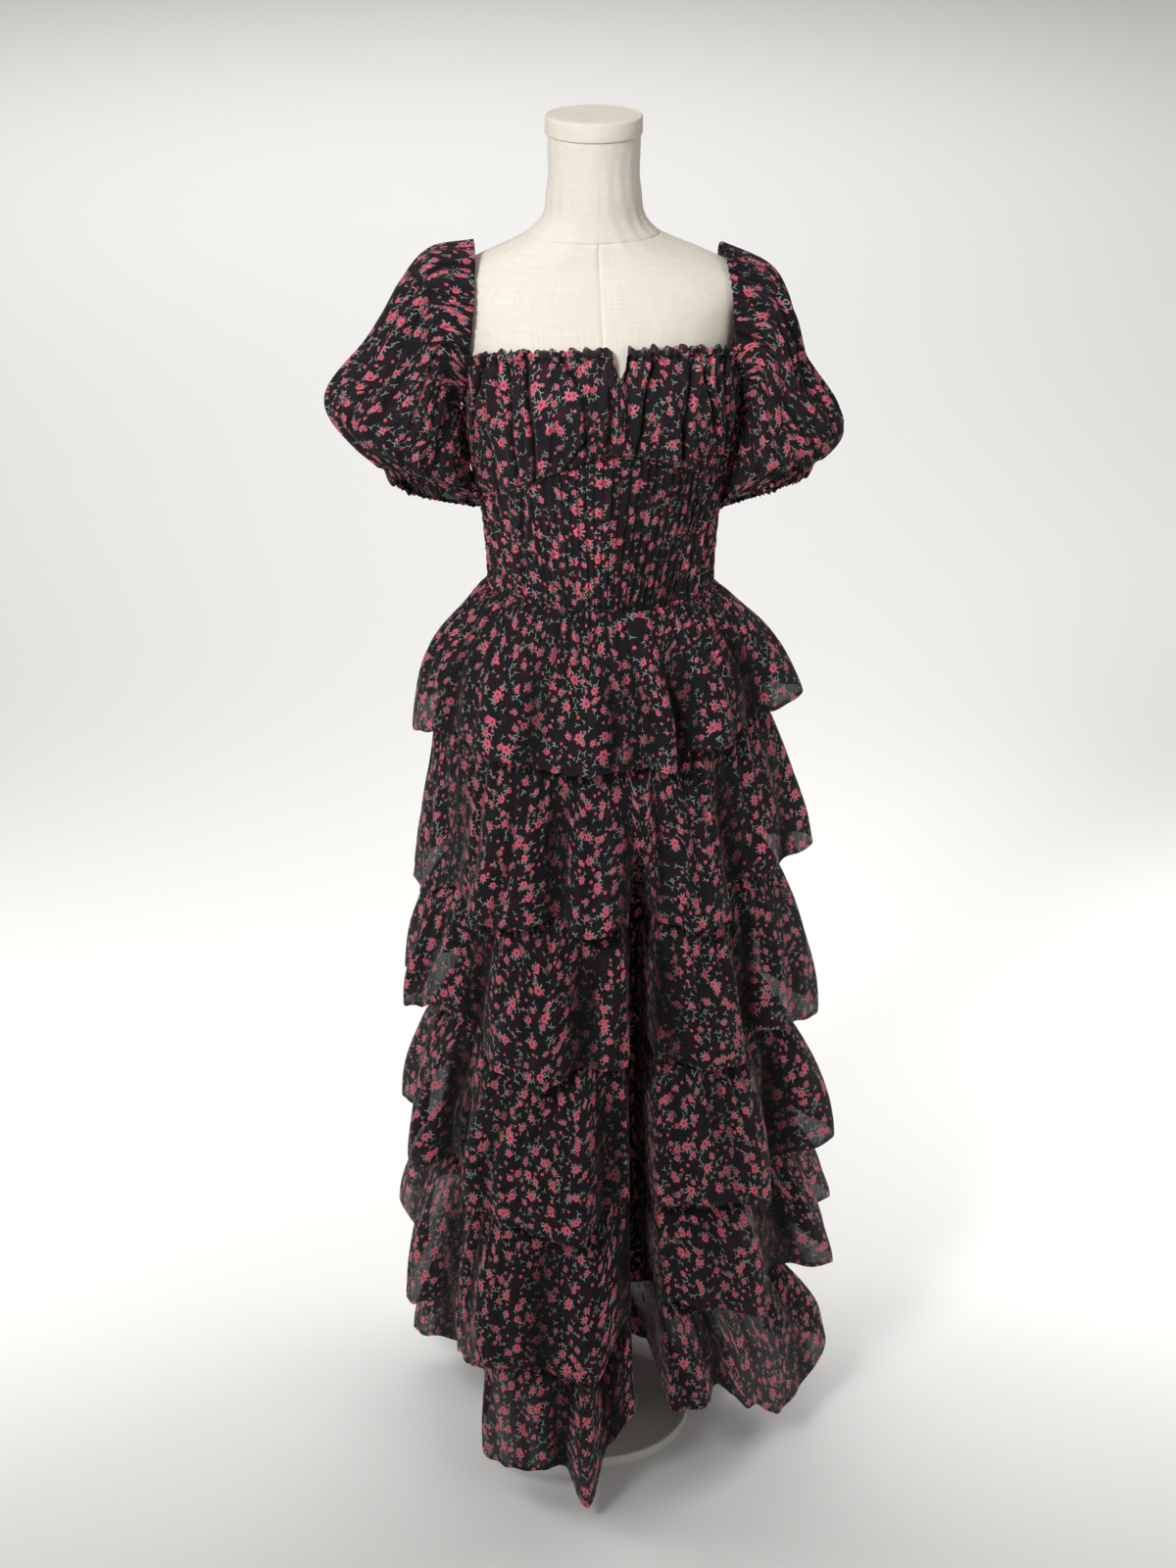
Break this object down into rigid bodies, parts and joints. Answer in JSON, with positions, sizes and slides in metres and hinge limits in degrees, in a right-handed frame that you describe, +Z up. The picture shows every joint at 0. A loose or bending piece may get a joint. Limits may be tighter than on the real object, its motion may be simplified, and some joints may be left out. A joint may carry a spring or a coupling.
{
  "type": "midi dress on dress form",
  "caption": "Tiered sheer dress with puff sleeves and a fitted bodice, worn by a limbless dress form on a pole and round base.",
  "frame": {"origin": "on the floor, at the middle of the base's underside", "axes": "+Z up, -Y is the front of the dress, +X is the viewer's right; metres"},
  "size_m": [0.5568, 0.489, 1.5093],
  "materials": {
    "form_torso": "off-white linen cover, pulled smooth",
    "form_neck_cap": "off-white linen over a disc",
    "form_arm_plate_left": "light grey satin paint",
    "form_arm_plate_right": "light grey satin paint",
    "form_pole": "white satin paint",
    "form_base": "white satin paint",
    "bust_cup_left": "printed crinkle chiffon, lined and gathered",
    "bust_cup_right": "printed crinkle chiffon, lined and gathered",
    "corset_front": "printed crinkle chiffon, lined and pintucked",
    "side_panel_left": "printed crinkle chiffon, shirred",
    "side_panel_right": "printed crinkle chiffon, shirred",
    "back_panel": "printed crinkle chiffon, shirred",
    "sleeve_left": "printed crinkle chiffon, sheer",
    "sleeve_right": "printed crinkle chiffon, sheer",
    "underskirt": "black lining cloth, matte",
    "tier_1": "printed crinkle chiffon, sheer",
    "tier_2": "printed crinkle chiffon, sheer",
    "tier_3": "printed crinkle chiffon, sheer",
    "tier_4": "printed crinkle chiffon, sheer",
    "tier_5": "printed crinkle chiffon, sheer",
    "tier_6": "printed crinkle chiffon, sheer"
  },
  "bodies": {
    "root": {"form_torso": "form_torso", "form_neck_cap": "form_neck_cap", "form_arm_plate_left": "form_arm_plate_left", "form_arm_plate_right": "form_arm_plate_right", "form_pole": "form_pole", "form_base": "form_base", "bust_cup_left": "bust_cup_left", "bust_cup_right": "bust_cup_right", "corset_front": "corset_front", "side_panel_left": "side_panel_left", "side_panel_right": "side_panel_right", "back_panel": "back_panel", "sleeve_left": "sleeve_left", "sleeve_right": "sleeve_right", "underskirt": "underskirt", "tier_1": "tier_1", "tier_2": "tier_2", "tier_3": "tier_3", "tier_4": "tier_4", "tier_5": "tier_5", "tier_6": "tier_6"}
  },
  "joints": []
}
